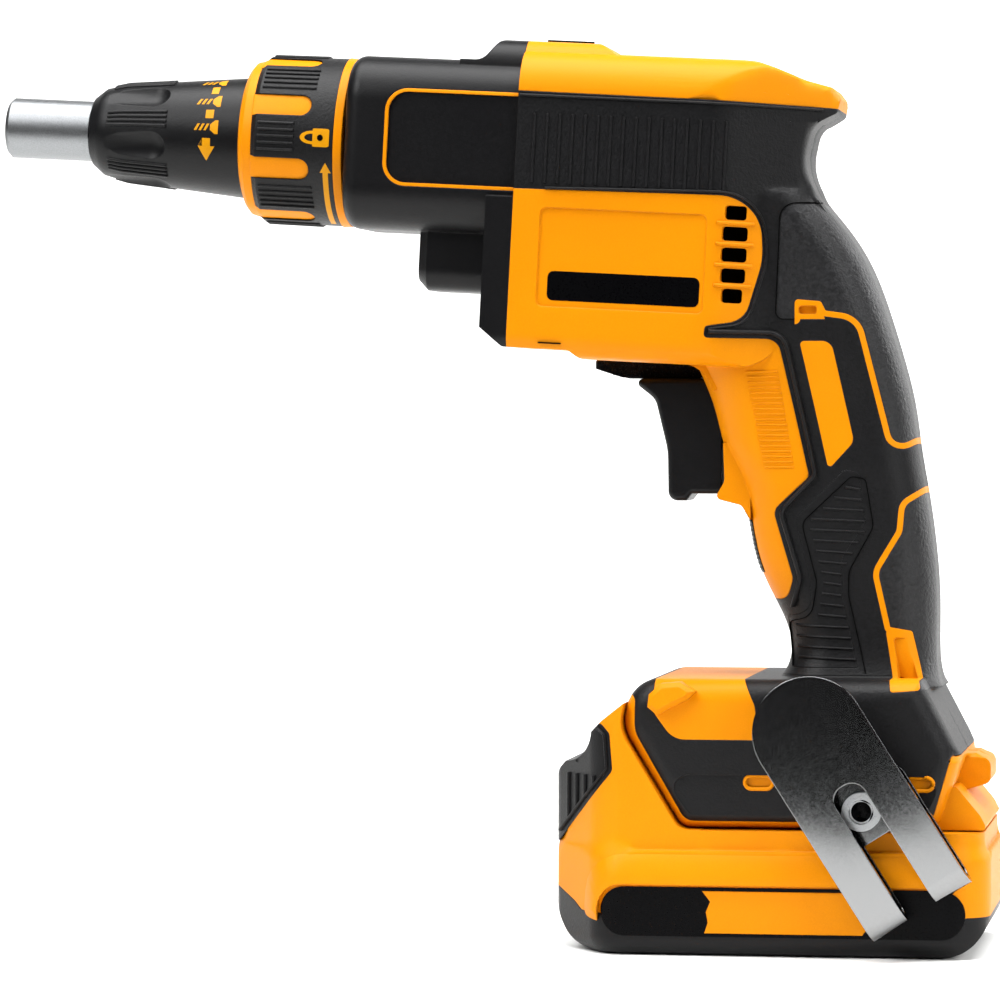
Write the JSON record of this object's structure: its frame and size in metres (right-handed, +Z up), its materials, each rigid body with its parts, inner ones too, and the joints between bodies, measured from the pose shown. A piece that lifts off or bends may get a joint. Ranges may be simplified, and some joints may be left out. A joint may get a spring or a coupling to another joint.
{
  "type": "cordless screwdriver",
  "caption": "Cordless drywall screwdriver with a pistol grip, a turning depth nose behind a lock collar, a slide-on battery pack and a folded steel belt hook.",
  "frame": {"origin": "centre of the battery pack's flat bottom, on which the tool stands", "axes": "+X from the nose to the rear, +Z up, so the belt hook's side, the tool's left, faces -Y"},
  "size_m": [0.2642, 0.0864, 0.2364],
  "materials": {
    "yellow_shell": "moulded, lightly grained",
    "black_overmould": "soft, finely grained",
    "black_moulding": "satin moulded",
    "satin_steel": "bead blasted and ground",
    "dark_screw_steel": "blackened",
    "polished_steel": "bright plated",
    "motor_iron": "laminated",
    "copper": "bare copper",
    "bronze": "sintered",
    "cast_plate": "die cast",
    "circuit_board": "coated laminate",
    "clear_lens": "clear moulded",
    "label_film": "printed film"
  },
  "bodies": {
    "tool": {"housing_left": "yellow_shell", "housing_right": "yellow_shell", "gear_case_trim": "yellow_shell", "overmould_left": "black_overmould", "overmould_right": "black_overmould", "upper_rear_pad_left": "black_overmould", "upper_rear_pad_right": "black_overmould", "lower_rear_pad_left": "black_overmould", "lower_rear_pad_right": "black_overmould", "palm_pad_left": "black_overmould", "palm_pad_right": "black_overmould", "foot_cover_left": "black_overmould", "foot_cover_right": "black_overmould", "gear_case": "black_moulding", "nose_carrier": "black_moulding", "trigger_switch": "black_moulding", "terminal_block": "black_moulding", "gear_bearing": "satin_steel", "motor_front_bearing": "satin_steel", "motor_rear_bearing": "satin_steel", "trigger_spring": "satin_steel", "housing_screws": "dark_screw_steel", "belt_hook_screw": "dark_screw_steel", "belt_hook": "polished_steel", "stator_core": "motor_iron", "stator_windings": "copper", "contact_blades": "copper", "spindle_bush": "bronze", "bearing_plate": "cast_plate", "sensor_board": "circuit_board", "led_board": "circuit_board", "controller_module": "circuit_board", "led_lens": "clear_lens"},
    "depth_dial": {"depth_sleeve": "black_moulding"},
    "nosepiece": {"nosepiece_tip": "satin_steel"},
    "collar": {"lock_collar": "yellow_shell", "lock_collar_grip": "black_overmould"},
    "push": {"thrust_race": "satin_steel", "clutch_spring": "satin_steel"},
    "spindle": {"spindle": "satin_steel", "bit_holder": "satin_steel", "screw_bit": "satin_steel"},
    "gear": {"driven_gear": "satin_steel"},
    "rotor": {"motor_pinion": "satin_steel", "rotor_shaft": "satin_steel", "rotor_core": "motor_iron", "cooling_fan": "black_moulding"},
    "trigger": {"trigger": "black_moulding"},
    "lever": {"reversing_lever": "black_moulding"},
    "battery": {"battery_lower_shell": "black_moulding", "battery_upper_shell": "yellow_shell", "battery_labels": "label_film", "battery_cells": "cast_plate", "cell_cradle": "black_moulding", "battery_board": "circuit_board", "battery_terminals": "copper", "battery_screws": "dark_screw_steel", "battery_bezel": "black_moulding", "latch_spring": "satin_steel"},
    "latch": {"latch_button": "black_moulding"}
  },
  "joints": [
    {"name": "trigger_pull", "type": "slide", "parent": "tool", "child": "trigger", "axis": [1, 0, 0], "range_m": [0, 0.006], "stiffness_N_per_m": 800, "springref_m": -0.004},
    {"name": "reversing_lever_swing", "type": "hinge", "parent": "tool", "child": "lever", "pos_m": [-0.02, 0, 0.1493], "axis": [0, 0, 1], "range_deg": [-12, 12]},
    {"name": "depth_dial_turn", "type": "hinge", "parent": "tool", "child": "depth_dial", "pos_m": [-0.1135, 0, 0.2103], "axis": [0.9986, 0, -0.0523], "range_deg": [0, 330]},
    {"name": "nosepiece_slide", "type": "slide", "parent": "tool", "child": "nosepiece", "axis": [0.9986, 0, -0.0523], "range_m": [0, 0.0037]},
    {"name": "lock_collar_turn", "type": "hinge", "parent": "tool", "child": "collar", "pos_m": [-0.1135, 0, 0.2103], "axis": [0.9986, 0, -0.0523], "range_deg": [0, 30]},
    {"name": "spindle_push", "type": "slide", "parent": "tool", "child": "push", "axis": [0.9986, 0, -0.0523], "range_m": [0, 0.004], "stiffness_N_per_m": 1500, "springref_m": -0.003},
    {"name": "spindle_spin", "type": "hinge", "parent": "push", "child": "spindle", "pos_m": [-0.1135, 0, 0.2103], "axis": [0.9986, 0, -0.0523], "continuous": true},
    {"name": "gear_spin", "type": "hinge", "parent": "tool", "child": "gear", "pos_m": [-0.1135, 0, 0.2103], "axis": [0.9986, 0, -0.0523], "continuous": true},
    {"name": "rotor_spin", "type": "hinge", "parent": "tool", "child": "rotor", "pos_m": [-0.11478, 0, 0.18596], "axis": [0.9986, 0, -0.0523], "continuous": true},
    {"name": "battery_slide", "type": "slide", "parent": "tool", "child": "battery", "axis": [-1, 0, 0], "range_m": [0, 0.09]},
    {"name": "latch_press", "type": "slide", "parent": "battery", "child": "latch", "axis": [1, 0, 0], "range_m": [0, 0.0024], "stiffness_N_per_m": 1500, "springref_m": -0.002}
  ],
  "couplings": [
    {"joint": "nosepiece_slide", "follows": "depth_dial_turn", "m_per_rad": 0.00063662},
    {"joint": "gear_spin", "follows": "rotor_spin", "ratio": -0.25},
    {"joint": "spindle_spin", "follows": "rotor_spin", "ratio": -0.25}
  ]
}
